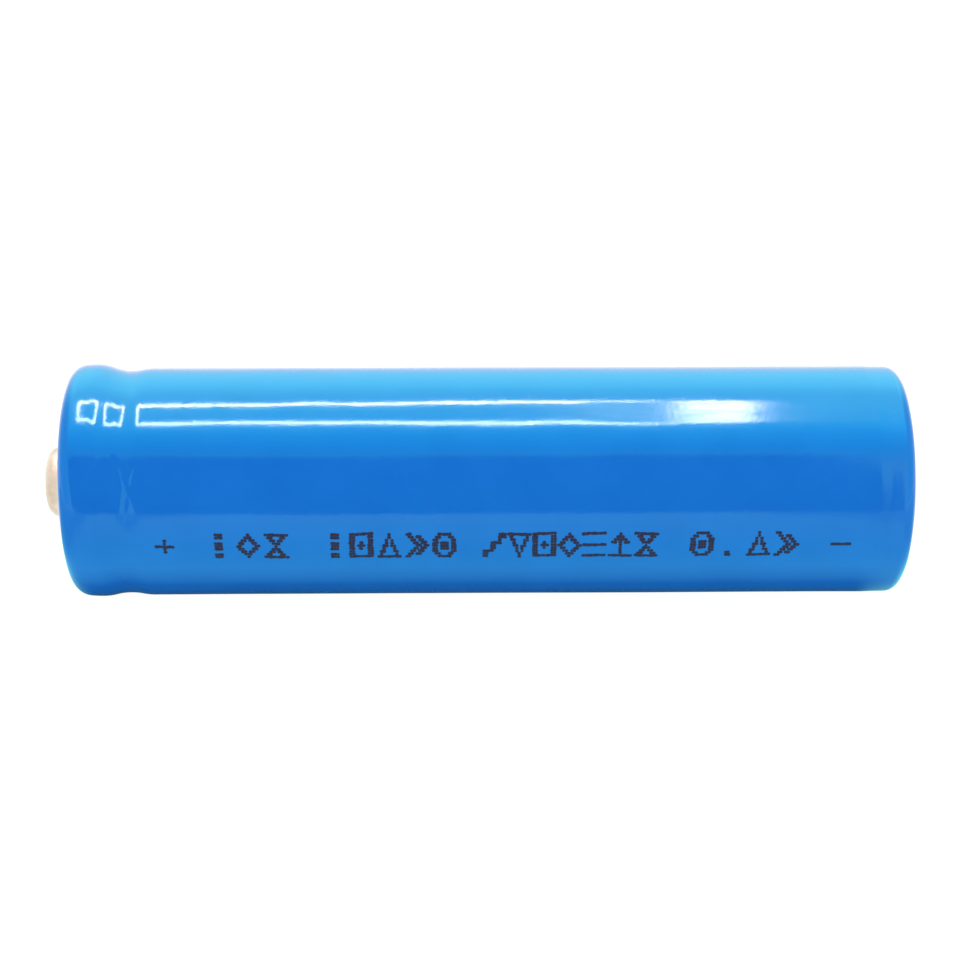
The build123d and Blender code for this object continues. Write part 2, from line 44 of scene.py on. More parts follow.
MM = 0.001
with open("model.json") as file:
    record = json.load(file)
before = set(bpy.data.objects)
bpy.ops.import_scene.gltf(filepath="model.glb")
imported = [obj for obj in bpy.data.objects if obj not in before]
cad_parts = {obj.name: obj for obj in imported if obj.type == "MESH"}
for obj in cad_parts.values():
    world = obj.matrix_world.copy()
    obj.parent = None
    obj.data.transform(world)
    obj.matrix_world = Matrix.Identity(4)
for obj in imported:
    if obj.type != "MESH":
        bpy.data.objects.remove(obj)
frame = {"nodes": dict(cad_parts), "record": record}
cad_low, cad_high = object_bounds()
record = frame["record"]

# ---------------------------------------------------------------------------
# Sleeve: its outer face has the CAD sleeve's dimensions
# ---------------------------------------------------------------------------
FILM = 0.13
LIP_OPENING = 6.90
NEGATIVE_LIP_X = -0.07
POSITIVE_LIP_X = -67.03
BODY_RADIUS = 9.25
CROWN_RADIUS = 9.45
WAIST_START_X = -60.94
WAIST_X = -62.63
WAIST_RADIUS = 8.945
CROWN_X = -64.40
OUTLINE = [
    (NEGATIVE_LIP_X, LIP_OPENING + 0.5 * FILM),
    (NEGATIVE_LIP_X, 9.20),
    (-2.10, 9.22),
    (-2.90, BODY_RADIUS),
    (WAIST_START_X, BODY_RADIUS),
    (WAIST_X, WAIST_RADIUS),
    (CROWN_X, CROWN_RADIUS),
    (POSITIVE_LIP_X, CROWN_RADIUS),
    (POSITIVE_LIP_X, LIP_OPENING + 0.5 * FILM),
]
OUTLINE_ROUNDS = [1.00, 6.0, 6.0, 5.0, 4.6, 4.0, 1.30]
RIDGE_RISE = 0.16
AROUND = 360


def rounded_path(points, rounds, straight_step, arc_step):
    """Points along a polyline with an arc at each inner corner, as rows of x and radius."""
    points = [np.array(p, float) for p in points]
    path = [points[0]]

    def run_to(end):
        length = np.linalg.norm(end - path[-1])
        count = max(1, math.ceil(length / straight_step))
        start = path[-1]
        path.extend(start + (end - start) * k / count for k in range(1, count + 1))

    for before, corner, after, radius in zip(points, points[1:], points[2:], rounds):
        back = (before - corner) / np.linalg.norm(before - corner)
        ahead = (after - corner) / np.linalg.norm(after - corner)
        half = math.acos(np.clip(back @ ahead, -1, 1)) / 2
        middle = (back + ahead) / np.linalg.norm(back + ahead)
        centre = corner + middle * radius / math.sin(half)
        cut = radius / math.tan(half)
        run_to(corner + back * cut)
        first = path[-1] - centre
        sweep = math.pi - 2 * half
        turn = math.copysign(1, back[1] * ahead[0] - back[0] * ahead[1])
        count = max(3, math.ceil(sweep * radius / arc_step))
        for k in range(1, count + 1):
            a = turn * sweep * k / count
            c, s = math.cos(a), math.sin(a)
            path.append(centre + np.array([c * first[0] - s * first[1], s * first[0] + c * first[1]]))
    run_to(points[-1])
    return np.array(path)


def path_normals(path):
    """Outward normals of a path that runs from the negative lip over the outside to the other lip."""
    along = np.gradient(path, axis=0)
    along /= np.linalg.norm(along, axis=1)[:, None]
    return np.column_stack([along[:, 1], -along[:, 0]])


def smooth(value, low, high):
    t = np.clip((value - low) / (high - low), 0, 1)
    return t * t * (3 - 2 * t)


draw = np.random.default_rng(18)


def make_waves(count, least_turns, most_turns, shortest, longest):
    """Sines round and along the cell whose sum looks like slack film."""
    return [
        (
            int(draw.integers(least_turns, most_turns + 1)),
            2 * math.pi / draw.uniform(shortest, longest) * draw.choice([-1, 1]),
            draw.uniform(0, 2 * math.pi),
        )
        for _ in range(count)
    ]


SLOW_WAVES = make_waves(10, 1, 4, 18, 60)
MID_WAVES = make_waves(22, 4, 11, 7, 26)
FINE_WAVES = make_waves(26, 9, 26, 3, 9)


def wave_sum(waves, x, angle):
    total = sum(np.sin(turns * angle + wave * x + start) for turns, wave, start in waves)
    return total / math.sqrt(len(waves))


def fold(x, angle, start, end, depth, width):
    """A straight crease between two points given as x and angle, shallow at its ends."""
    a = np.array([start[0], math.radians(start[1]) * BODY_RADIUS])
    b = np.array([end[0], math.radians(end[1]) * BODY_RADIUS])
    wrapped = (angle - math.radians(start[1]) + math.pi) % (2 * math.pi) - math.pi
    px, py = x - a[0], wrapped * BODY_RADIUS
    length = np.linalg.norm(b - a)
    u = (b - a) / length
    t = (px * u[0] + py * u[1]) / length
    off = px * u[1] - py * u[0]
    ends = smooth(t, 0, 0.25) * (1 - smooth(t, 0.75, 1))
    return depth * ends * np.exp(-((off / width) ** 2))


SLOW_HEIGHT, MID_HEIGHT = 0.010, 0.0045
FINE_HEIGHT, FINE_AT_WAIST, FINE_AT_END = 0.0006, 0.0022, 0.0012
WRINKLED_X, WRINKLED_REACH = -62.4, 2.2
END_BAND = (-4.0, -1.0)
CREASES = [  # start and end, each as x and angle, then depth and width
    ((-62.7, 44), (-61.7, 25), -0.046, 0.15),
    ((-60.9, 41), (-61.6, 25), -0.040, 0.15),
    ((-61.5, 30), (-61.9, 8), 0.050, 0.18),
    ((-62.2, 34), (-61.1, 20), 0.036, 0.16),
    ((-63.4, -20), (-61.8, -46), -0.014, 0.20),
    ((-61.9, 96), (-63.2, 128), -0.016, 0.20),
    ((-63.2, 205), (-62.0, 238), 0.016, 0.22),
    ((-18.5, 24), (-12.2, 23.6), 0.006, 0.12),
    ((-57.0, 203), (-21.0, 204), 0.008, 0.15),
]


def slack(x, angle):
    """How far the film stands off its plain shape, in mm."""
    near_waist = np.exp(-(((x - WRINKLED_X) / WRINKLED_REACH) ** 2))
    near_end = smooth(x, *END_BAND)
    fine = FINE_HEIGHT + FINE_AT_WAIST * near_waist + FINE_AT_END * near_end
    total = SLOW_HEIGHT * wave_sum(SLOW_WAVES, x, angle)
    total += MID_HEIGHT * wave_sum(MID_WAVES, x, angle)
    total += fine * wave_sum(FINE_WAVES, x, angle)
    for start, end, depth, width in CREASES:
        total += fold(x, angle, start, end, depth, width)
    return total


RIDGE_FLAT_ANGLE, RIDGE_FOOT_ANGLE = 8.8, 11.8
BRIDGE_START = 60.3  # distance from the negative end past which the lead bridges the waist


def ridge_lift(x, angle, outward):
    """How far the positive lead lifts the film, in mm. outward is the normal's radial part."""
    off = np.abs(angle % (2 * math.pi) - math.pi)
    band = 1 - smooth(off, math.radians(RIDGE_FLAT_ANGLE), math.radians(RIDGE_FOOT_ANGLE))
    bridge = np.interp(-x, [-WAIST_START_X, -CROWN_X], [0, CROWN_RADIUS - BODY_RADIUS])
    base = np.interp(-x, SKIN_XS, SKIN_RS)
    line = np.where(-x > BRIDGE_START, BODY_RADIUS + bridge - base, 0)
    return band * np.clip(outward, 0, 1) * (RIDGE_RISE + np.clip(line, 0, 1))


skin = rounded_path(OUTLINE, OUTLINE_ROUNDS, 0.40, 0.10)
skin_normals = path_normals(skin)
body_part = (skin_normals[:, 1] > 0.2)
order = np.argsort(-skin[body_part, 0])
SKIN_XS = -skin[body_part, 0][order]
SKIN_RS = skin[body_part, 1][order]


def towards_image_top(y, z):
    """1 on the line of the film that stands highest when seen from 30 degrees above level."""
    return (0.5 * y + 0.866 * z) / BODY_RADIUS


HEAD_FROM, HEAD_FULL = 62.45, 65.2  # distances from the negative end
HEAD_TILT, HEAD_SWELL = 0.10, 0.04
HEAD_SHIFT_Y, HEAD_SHIFT_Z = 0.060, 0.104
DOME_FROM, DOME_REACH, DOME_CURVE = 64.95, 0.95, 0.05


def place(x, radius, angle, nx, nr):
    """Film points in mm: angle 0 faces -Y, 90 degrees is up, and 180 degrees is the lead's side."""
    off = slack(x, angle)
    x = x + nx * off
    radius = radius + nr * off + ridge_lift(x, angle, nr)
    y, z = -radius * np.cos(angle), radius * np.sin(angle)
    towards_top = towards_image_top(y, z)
    head = smooth(-x, HEAD_FROM, HEAD_FULL)
    drop = DOME_CURVE * np.clip(-x - DOME_FROM, 0, DOME_REACH) ** 2
    y = y + drop * np.cos(angle)
    z = z - drop * np.sin(angle)
    x = x - HEAD_TILT * towards_top * head
    swell = HEAD_SWELL * np.clip(towards_top, 0, 1) ** 2 * head
    y = y + HEAD_SHIFT_Y * head - swell * np.cos(angle)
    z = z + HEAD_SHIFT_Z * head + swell * np.sin(angle)
    return x, y, z


LIP_STEPS = 6
INNER_STRIDE = 5  # the hidden inner face keeps one row in five


def lip_points(end_index, side):
    """A half-round edge that joins the outer face to the inner face at a lip."""
    x, r = skin[end_index]
    middle_x = x - side * FILM / 2
    out = []
    for k in range(1, LIP_STEPS):
        a = math.pi * k / LIP_STEPS
        out.append((middle_x + side * FILM / 2 * math.cos(a), r - FILM / 2 * math.sin(a)))
    return out


def closed_loop():
    """The film's whole section: outer face, positive lip, inner face, negative lip."""
    inner = skin - skin_normals * FILM
    inner_pick = list(range(0, len(skin), INNER_STRIDE))
    if inner_pick[-1] != len(skin) - 1:
        inner_pick.append(len(skin) - 1)
    rows = list(zip(skin, skin_normals))
    rows += [(np.array(p), skin_normals[-1]) for p in lip_points(-1, -1)]
    rows += [(inner[k], skin_normals[k]) for k in reversed(inner_pick)]
    rows += [(np.array(p), skin_normals[0]) for p in reversed(lip_points(0, 1))]
    return rows


def new_mesh(name, points_mm, faces):
    mesh = bpy.data.meshes.new(name)
    mesh.from_pydata((np.asarray(points_mm) * MM).tolist(), [], faces)
    mesh.update()
    for polygon in mesh.polygons:
        polygon.use_smooth = True
    obj = bpy.data.objects.new(name, mesh)
    bpy.context.scene.collection.objects.link(obj)
    return obj


LIP_WAVES = [(0.05, 3, 0.7), (0.03, 7, 2.0)]  # height, turns and start
LIP_ZONE = 8.0
LIP_FADE = (7.0, 7.9)


def make_sleeve():
    rows = closed_loop()
    angles = 2 * math.pi * np.arange(AROUND) / AROUND
    points = []
    lip_wave = sum(height * np.sin(turns * angles + start) for height, turns, start in LIP_WAVES)
    for (x, r), (nx, nr) in rows:
        spread = lip_wave * (1 - smooth(np.full(AROUND, r), *LIP_FADE)) if r < LIP_ZONE else 0.0
        px, py, pz = place(np.full(AROUND, x), r + spread, angles, nx, nr)
        points.append(np.column_stack([px, py, pz]))
    points = np.concatenate(points)
    count = len(rows)
    faces = []
    for i in range(count):
        j = (i + 1) % count
        for k in range(AROUND):
            m = (k + 1) % AROUND
            faces.append((i * AROUND + k, i * AROUND + m, j * AROUND + m, j * AROUND + k))
    return new_mesh("sleeve_film", points, faces)


# ---------------------------------------------------------------------------
# Ink marks: generic signs in a dot-matrix hand, with the polarity marks at their ends
# ---------------------------------------------------------------------------
COLUMN_PITCH = 0.205
ROW_PITCH = 0.262
DOT_RADIUS = 0.164
PRINT_ANGLE = -3.6  # degrees from the front, where the row's middle lies

SIGNS = {
    "plus": """
.......
.......
...#...
...#...
#######
...#...
...#...
.......
.......""",
    "minus": """
........
........
........
........
########
........
........
........
........""",
    "stop": """
....
....
....
....
....
....
....
.##.
.##.""",
    "post": """
.###.
.###.
.....
.###.
.###.
.###.
.....
.###.
.###.""",
    "frame": """
#########
##.....##
##.....##
##..#..##
##.###.##
##..#..##
##.....##
##.....##
#########""",
    "diamond": """
....#....
...###...
..##.##..
.##...##.
##.....##
.##...##.
..##.##..
...###...
....#....""",
    "peak": """
....#....
....#....
...#.#...
...#.#...
..##.##..
..#...#..
.##...##.
.#.....#.
#########""",
    "dip": """
#########
.#.....#.
.##...##.
..#...#..
..##.##..
...#.#...
...#.#...
....#....
....#....""",
    "glass": """
#########
.##...##.
..##.##..
...###...
....#....
...###...
..##.##..
.##...##.
#########""",
    "right": """
##.......
.##.##...
..##.##..
...##.##.
....##.##
...##.##.
..##.##..
.##.##...
##.......""",
    "bars": """
#########
.........
.........
.........
#########
.........
.........
.........
#########""",
    "steps": """
......###
......###
......#..
...####..
...##....
...##....
####.....
##.......
##.......""",
    "arrow": """
....#....
...###...
..#####..
.##.#.##.
....#....
....#....
....#....
....#....
#########""",
    "target": """
..#####..
.##...##.
##.....##
##.###.##
##.###.##
##.###.##
##.....##
.##...##.
..#####..""",
}

PRINT_LINE = [
    ("plus", -59.55),
    ("post", -55.14),
    ("diamond", -53.26),
    ("glass", -51.07),
    ("post", -46.06),
    ("frame", -44.42),
    ("peak", -42.23),
    ("right", -40.04),
    ("target", -37.92),
    ("steps", -34.01),
    ("dip", -32.06),
    ("frame", -30.10),
    ("diamond", -28.14),
    ("bars", -26.19),
    ("arrow", -24.15),
    ("glass", -22.12),
    ("target", -17.74),
    ("stop", -15.20),
    ("peak", -13.28),
    ("right", -11.08),
    ("minus", -6.75),
]


DOT_SIDES = 10
DOT_LEVELS = [(0.0, 0.012), (0.62, 0.010), (0.93, 0.005), (1.0, -0.008)]  # share of radius, height
DOT_JITTER = 0.012
MIDDLE_ROW = 4


def make_print():
    """Low domes of ink on the film, one for each dot."""
    points, faces = [], []
    rim = 2 * math.pi * np.arange(DOT_SIDES) / DOT_SIDES
    rings = len(DOT_LEVELS) - 1
    for name, left in PRINT_LINE:
        slope = draw.uniform(-DOT_JITTER, DOT_JITTER)
        for row, line in enumerate(SIGNS[name].split()):
            for column, mark in enumerate(line):
                jitter = draw.normal(0, DOT_JITTER, 2)
                size = DOT_RADIUS * draw.uniform(0.86, 1.10)
                skew = draw.uniform(0.9, 1.15)
                if mark != "#":
                    continue
                x = left + DOT_RADIUS + column * COLUMN_PITCH + jitter[0]
                up = (MIDDLE_ROW - row) * ROW_PITCH + slope * column + jitter[1]
                middle = math.radians(PRINT_ANGLE) + up / BODY_RADIUS
                at = len(points)
                for share, height in DOT_LEVELS:
                    if share == 0:
                        xs, angles = np.array([x]), np.array([middle])
                    else:
                        xs = x + size * skew * share * np.cos(rim)
                        angles = middle + size * share * np.sin(rim) / BODY_RADIUS
                    radius = np.interp(-xs, SKIN_XS, SKIN_RS) + height
                    px, py, pz = place(xs, radius, angles, 0.0, 1.0)
                    points.extend(np.column_stack([px, py, pz]).tolist())
                for k in range(DOT_SIDES):
                    m = (k + 1) % DOT_SIDES
                    faces.append((at, at + 1 + m, at + 1 + k))
                    for level in range(rings - 1):
                        a = at + 1 + level * DOT_SIDES
                        b = a + DOT_SIDES
                        faces.append((a + k, a + m, b + m, b + k))
                base = at + 1 + (rings - 1) * DOT_SIDES
                faces.append(tuple(base + k for k in range(DOT_SIDES)))
    return new_mesh("ink_marks", points, faces)


# ---------------------------------------------------------------------------
# Materials
# ---------------------------------------------------------------------------
def linear(rgb):
    """sRGB 0 to 255 as linear RGBA."""
    out = []
    for value in rgb:
        v = value / 255
        out.append(v / 12.92 if v <= 0.04045 else ((v + 0.055) / 1.055) ** 2.4)
    return (*out, 1.0)


def wire(tree, socket, value):
    """Link a socket to a node's output, or set its own value."""
    if isinstance(value, bpy.types.NodeSocket):
        tree.links.new(value, socket)
    else:
        socket.default_value = value


class Nodes:
    """Short names for the nodes of one tree."""

    def __init__(self, tree):
        self.tree = tree

    def node(self, kind, inputs=(), **settings):
        made = self.tree.nodes.new(kind)
        for key, value in settings.items():
            setattr(made, key, value)
        for key, value in dict(inputs).items():
            wire(self.tree, made.inputs[key], value)
        return made

    def where(self, kind="Object"):
        return self.node("ShaderNodeTexCoord").outputs[kind]

    def axis(self, vector, name):
        return self.node("ShaderNodeSeparateXYZ", {"Vector": vector}).outputs[name]

    def math(self, kind, *values, clamp=False):
        made = self.node("ShaderNodeMath", dict(enumerate(values)), operation=kind)
        made.use_clamp = clamp
        return made.outputs["Value"]

    def remap(self, value, before, after=(0.0, 1.0), **settings):
        """A value's range mapped to another, clamped."""
        inputs = {"Value": value, "From Min": before[0], "From Max": before[1],
                  "To Min": after[0], "To Max": after[1]}
        return self.node("ShaderNodeMapRange", inputs, **settings).outputs["Result"]

    def ramp(self, value, stops):
        made = self.node("ShaderNodeValToRGB", {"Fac": value})
        elements = made.color_ramp.elements
        while len(elements) < len(stops):
            elements.new(0.5)
        for element, (at, colour) in zip(elements, stops):
            element.position = at
            element.color = colour
        return made.outputs["Color"]

    def mix(self, share, a, b):
        made = self.node("ShaderNodeMix", data_type="RGBA")
        for socket, value in ((made.inputs["Factor"], share), (made.inputs[6], a), (made.inputs[7], b)):
            wire(self.tree, socket, value)
        return made.outputs[2]


class Finish(Nodes):
    """A material with one Principled shader."""

    def __init__(self, name, **settings):
        self.material = bpy.data.materials.new(name)
        self.material.use_nodes = True
        super().__init__(self.material.node_tree)
        self.shader = self.tree.nodes["Principled BSDF"]
        for key, value in settings.items():
            self.shader.inputs[key.replace("_", " ")].default_value = value

    def stretch(self, scale):
        """Object coordinates in mm, stretched."""
        made = self.node("ShaderNodeMapping", {"Vector": self.where()})
        made.inputs["Scale"].default_value = [s / MM for s in scale]
        return made.outputs["Vector"]

    def noise(self, scale, detail=3.0, roughness=0.5, stretch=(1, 1, 1)):
        """Noise with scale features to a millimetre."""
        inputs = {"Vector": self.stretch(stretch), "Scale": scale, "Detail": detail,
                  "Roughness": roughness}
        return self.node("ShaderNodeTexNoise", inputs).outputs["Fac"]

    def span(self, value, low, high):
        """Noise from about 0.3 to 0.7 mapped to a range."""
        return self.remap(value, (0.3, 0.7), (low, high))

    def bump(self, height, strength, distance_mm, before=None):
        inputs = {"Height": height, "Strength": strength, "Distance": distance_mm * MM}
        if before is not None:
            inputs["Normal"] = before
        return self.node("ShaderNodeBump", inputs).outputs["Normal"]

    def set(self, **sockets):
        for key, value in sockets.items():
            self.tree.links.new(value, self.shader.inputs[key.replace("_", " ")])
        return self.material

FILM_TINT = (0.35, 0.92, 1.0, 1.0)
FILM_DEEP, FILM_PALE = (0.0040, 0.100, 0.405, 1), (0.0050, 0.109, 0.425, 1)
FILM_STRETCHED = (0.25, 0.42, 0.62, 1)
STRETCH_BAND, STRETCH_SHARE = (-3.2, -1.6), 0.008
DUST_REACH = 0.055


def film_finish():
    f = Finish("blue_shrink_film", IOR=1.5)
    f.shader.inputs["Specular Tint"].default_value = FILM_TINT
    colour = f.mix(f.span(f.noise(0.25, 4), 0, 1), FILM_DEEP, FILM_PALE)
    end = f.remap(f.axis(f.stretch((1, 1, 1)), "X"), STRETCH_BAND, (0.0, STRETCH_SHARE))
    colour = f.mix(end, colour, FILM_STRETCHED)
    rough = f.span(f.noise(0.8, 4, 0.6), 0.095, 0.135)
    peel = f.bump(f.noise(3.2, 2, 0.5), 0.10, 0.05)
    cells = f.node("ShaderNodeTexVoronoi", {"Vector": f.stretch((1, 1, 1)), "Scale": 0.42})
    dust = f.remap(cells.outputs["Distance"], (0.0, DUST_REACH), (1.0, 0.0))
    return f.set(Base_Color=colour, Roughness=rough, Normal=f.bump(dust, 0.6, 0.03, peel))


INK_TINT = (1.0, 0.60, 0.60, 1.0)
INK_DARK, INK_LIGHT = (16, 20, 44), (30, 33, 68)


def ink_finish():
    f = Finish("print_ink", IOR=1.35)
    f.shader.inputs["Specular Tint"].default_value = INK_TINT
    colour = f.ramp(f.noise(4.0, 3), [(0.35, linear(INK_DARK)), (0.70, linear(INK_LIGHT))])
    return f.set(Base_Color=colour, Roughness=f.span(f.noise(5.0, 2), 0.35, 0.5))


def metal_finish(name, dark, light, rough, brush=(1, 1, 1), scale=1.0, wear=0.35):
    f = Finish(name, Metallic=1.0)
    blotch = f.noise(0.6 * scale, 5, 0.6)
    lines = f.noise(6.0 * scale, 4, 0.6, brush)
    colour = f.mix(f.span(blotch, 0, 1), linear(dark), linear(light))
    scratch = f.noise(14.0 * scale, 2, 0.5, (brush[0], brush[1] * 0.4, brush[2]))
    roughness = f.math("ADD", f.span(lines, rough - 0.07, rough + 0.07),
                       f.span(scratch, -0.03, 0.03))
    normal = f.bump(lines, 0.12, 0.02)
    normal = f.bump(blotch, wear * 0.2, 0.05, normal)
    return f.set(Base_Color=colour, Roughness=roughness, Normal=normal)


def paper_finish(name, dark, light):
    f = Finish(name, IOR=1.45)
    fibre = f.noise(4.0, 6, 0.65, (1, 0.35, 1))
    cross = f.noise(5.0, 5, 0.65, (1, 1, 0.3))
    weave = f.math("MULTIPLY", fibre, cross)
    colour = f.ramp(fibre, [(0.30, linear(dark)), (0.65, linear(light))])
    normal = f.bump(weave, 0.5, 0.05)
    return f.set(Base_Color=colour, Roughness=f.span(cross, 0.75, 0.92), Normal=normal)


def plastic_finish(name, dark, light, rough, scale=1.0, grain=0.15):
    f = Finish(name, IOR=1.5)
    cloud = f.noise(0.5 * scale, 4, 0.55)
    fine = f.noise(7.0 * scale, 3, 0.6)
    colour = f.mix(f.span(cloud, 0, 1), linear(dark), linear(light))
    normal = f.bump(fine, grain, 0.02)
    return f.set(Base_Color=colour, Roughness=f.span(fine, rough - 0.06, rough + 0.06), Normal=normal)


def board_finish():
    f = Finish("solder_mask_board", IOR=1.5)
    weave_y = f.node("ShaderNodeTexWave", {"Vector": f.stretch((0, 1, 0)), "Scale": 0.8,
                                            "Distortion": 0.6}, bands_direction="Y").outputs["Fac"]
    weave_z = f.node("ShaderNodeTexWave", {"Vector": f.stretch((0, 0, 1)), "Scale": 0.8,
                                            "Distortion": 0.6}, bands_direction="Z").outputs["Fac"]
    weave = f.math("MULTIPLY", weave_y, weave_z)
    colour = f.mix(weave, linear((18, 92, 48)), linear((26, 112, 60)))
    return f.set(Base_Color=colour, Roughness=f.span(f.noise(2.0), 0.25, 0.4),
                 Normal=f.bump(weave, 0.15, 0.02))


def chip_finish(name, middle, light):
    f = Finish(name, IOR=1.5)
    grain = f.noise(9.0, 4)
    colour = f.mix(f.span(grain, 0, 1), linear(middle), linear(light))
    return f.set(Base_Color=colour, Roughness=f.span(grain, 0.3, 0.5),
                 Normal=f.bump(grain, 0.2, 0.01))


FINISHES = {
    "blue_film": film_finish(),
    "white_paper": paper_finish("white_fibre_paper", (205, 203, 196), (238, 236, 230)),
    "grey_paper": paper_finish("grey_fish_paper", (140, 146, 138), (170, 174, 164)),
    "nickel": metal_finish("worn_nickel_plate", (176, 160, 142), (205, 192, 176), 0.36, (1, 0.25, 0.25)),
    "nickel_lead": metal_finish("nickel_strip", (165, 160, 150), (198, 194, 186), 0.30, (0.15, 1, 1)),
    "can_steel": metal_finish("drawn_can_steel", (150, 150, 150), (188, 188, 188), 0.30, (0.12, 1, 1)),
    "amber_tape": plastic_finish("amber_film_tape", (186, 112, 30), (204, 132, 44), 0.22),
    "seal_plastic": plastic_finish("moulded_seal", (206, 206, 198), (226, 226, 220), 0.45),
    "ptc": plastic_finish("carbon_polymer", (24, 24, 27), (40, 40, 44), 0.6),
    "vent_aluminium": metal_finish("coined_aluminium", (190, 190, 194), (216, 216, 220), 0.34),
    "separator_film": plastic_finish("porous_film", (222, 224, 226), (240, 240, 240), 0.6, 2.0),
    "cathode_coat": plastic_finish("cathode_coating", (34, 34, 38), (52, 52, 56), 0.75, 3.0, 0.35),
    "anode_coat": plastic_finish("graphite_coating", (52, 52, 54), (72, 72, 74), 0.65, 3.0, 0.35),
    "board": board_finish(),
    "chip_plastic": plastic_finish("moulded_epoxy", (20, 20, 21), (32, 32, 34), 0.5, 2.0, 0.3),
    "chip_resistor": chip_finish("resistor_film", (26, 26, 30), (46, 46, 50)),
    "chip_capacitor": chip_finish("capacitor_ceramic", (142, 110, 76), (166, 132, 94)),
}


def give(obj, material):
    obj.data.materials.clear()
    obj.data.materials.append(material)


slot_of = {part["node"]: part["material_slot"] for part in record["subparts"]}
for node_name, node_object in frame["nodes"].items():
    give(node_object, FINISHES[slot_of[node_name]])

sleeve = make_sleeve()
give(sleeve, FINISHES["blue_film"])
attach(sleeve, "root")
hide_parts("heat_shrink_sleeve")

ink = make_print()
give(ink, ink_finish())
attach(ink, "root")


# ---------------------------------------------------------------------------
# Studio: floor, reflections and light
# ---------------------------------------------------------------------------
def quad(name, corners_mm):
    obj = new_mesh(name, corners_mm, [(0, 1, 2, 3)])
    return obj


class Glow(Nodes):
    """A material that only emits."""

    def __init__(self, name, strength=1.0, colour=(1, 1, 1, 1)):
        self.material = bpy.data.materials.new(name)
        self.material.use_nodes = True
        super().__init__(self.material.node_tree)
        self.tree.nodes.clear()
        self.shader = self.node("ShaderNodeEmission", {"Color": colour, "Strength": strength})
        self.node("ShaderNodeOutputMaterial", {"Surface": self.shader.outputs["Emission"]})


def only_in_gloss(obj):
    """A studio card that shows in reflections and nowhere else."""
    obj.visible_camera = False
    obj.visible_diffuse = False
    obj.visible_transmission = False
    obj.visible_volume_scatter = False
    obj.visible_shadow = False


FLOOR_Z = cad_low.z / MM
FLOOR_REACH = 2500
FLOOR_LIFT = 0.88  # share of the floor's own glow, which only the camera sees
floor = quad("studio_floor", [(-FLOOR_REACH, -FLOOR_REACH, FLOOR_Z), (FLOOR_REACH, -FLOOR_REACH, FLOOR_Z),
                              (FLOOR_REACH, FLOOR_REACH, FLOOR_Z), (-FLOOR_REACH, FLOOR_REACH, FLOOR_Z)])
paper = Finish("studio_paper", Roughness=0.9, IOR=1.2)
paper_tone = paper.mix(paper.span(paper.noise(0.02), 0, 1),
                       (0.86, 0.86, 0.86, 1), (0.88, 0.88, 0.88, 1))
give(floor, paper.set(Base_Color=paper_tone))
paper_glow = paper.node("ShaderNodeEmission", {"Strength": 1.1})
camera_ray = paper.node("ShaderNodeLightPath").outputs["Is Camera Ray"]
paper_both = paper.node("ShaderNodeMixShader", {0: paper.math("MULTIPLY", camera_ray, FLOOR_LIFT),
                                                1: paper.shader.outputs["BSDF"],
                                                2: paper_glow.outputs["Emission"]})
wire(paper.tree, paper.tree.nodes["Material Output"].inputs["Surface"], paper_both.outputs["Shader"])

MIDDLE_X = -33.55


def towards(angle, distance):
    """A point over the cell's middle: angle 0 is level in front, 90 up, 180 level behind."""
    a = math.radians(angle)
    return np.array([MIDDLE_X, -distance * math.cos(a), distance * math.sin(a)])


def along(point, x):
    return (MIDDLE_X + x, point[1], point[2])


# Dark card behind the camera
CARD_LOW_LEFT, CARD_HIGH_LEFT, CARD_RIGHT = -86, -250, 86
CARD_DISTANCE, CARD_TOP_ANGLE = 190, 53.5
CARD_FLOOR_GAP = 0.5
card_low = towards(0, CARD_DISTANCE)
card_low[2] = FLOOR_Z + CARD_FLOOR_GAP
card_high = towards(CARD_TOP_ANGLE, CARD_DISTANCE / math.cos(math.radians(CARD_TOP_ANGLE)))
card = quad("studio_dark_card", [along(card_low, CARD_LOW_LEFT), along(card_low, CARD_RIGHT),
                                 along(card_high, CARD_RIGHT), along(card_high, CARD_HIGH_LEFT)])
give(card, Glow("card_black", 0.04).material)
only_in_gloss(card)

# Lamp frame overhead, which the film mirrors as a long bright outline
LAMP_DISTANCE = 300
LAMP_NEAR = [(-106, 88.2), (-88, 88.7), (-66, 89.4), (-35, 89.0), (9, 88.2), (44, 87.6)]  # x, angle
LAMP_FAR = [(-106, 112.2), (-88, 111.2), (-66, 110.4), (-35, 111.6), (9, 113.3), (37, 114.4)]
lamp_across = towards(101, LAMP_DISTANCE) - towards(99, LAMP_DISTANCE)
lamp_across /= np.linalg.norm(lamp_across)
BAR = 6.5  # half the width of a lit strip
BEAD_PITCH = 12.2
BEAD_LOW, BEAD_HIGH = 7, 80
END_STRENGTH = 40
LAMP_COLOUR = (1.75, 1.0, 0.95, 1)


def lamp_bar(name, line):
    """A lit strip through places given as x and angle, brighter at each bead along X."""
    middles = [(towards(angle, LAMP_DISTANCE), x) for x, angle in line]
    points = [along(middle + side * lamp_across * BAR, x) for middle, x in middles for side in (-1, 1)]
    faces = [(2 * k, 2 * k + 2, 2 * k + 3, 2 * k + 1) for k in range(len(line) - 1)]
    bar = new_mesh(name, points, faces)
    glow = Glow(name + "_glow", BEAD_HIGH, LAMP_COLOUR)
    phase = glow.math("MULTIPLY", glow.axis(glow.where(), "X"), 2 * math.pi / (BEAD_PITCH * MM))
    level = glow.remap(glow.math("SINE", phase), (-1, 1), (BEAD_LOW, BEAD_HIGH))
    wire(glow.tree, glow.shader.inputs["Strength"], level)
    give(bar, glow.material)
    only_in_gloss(bar)


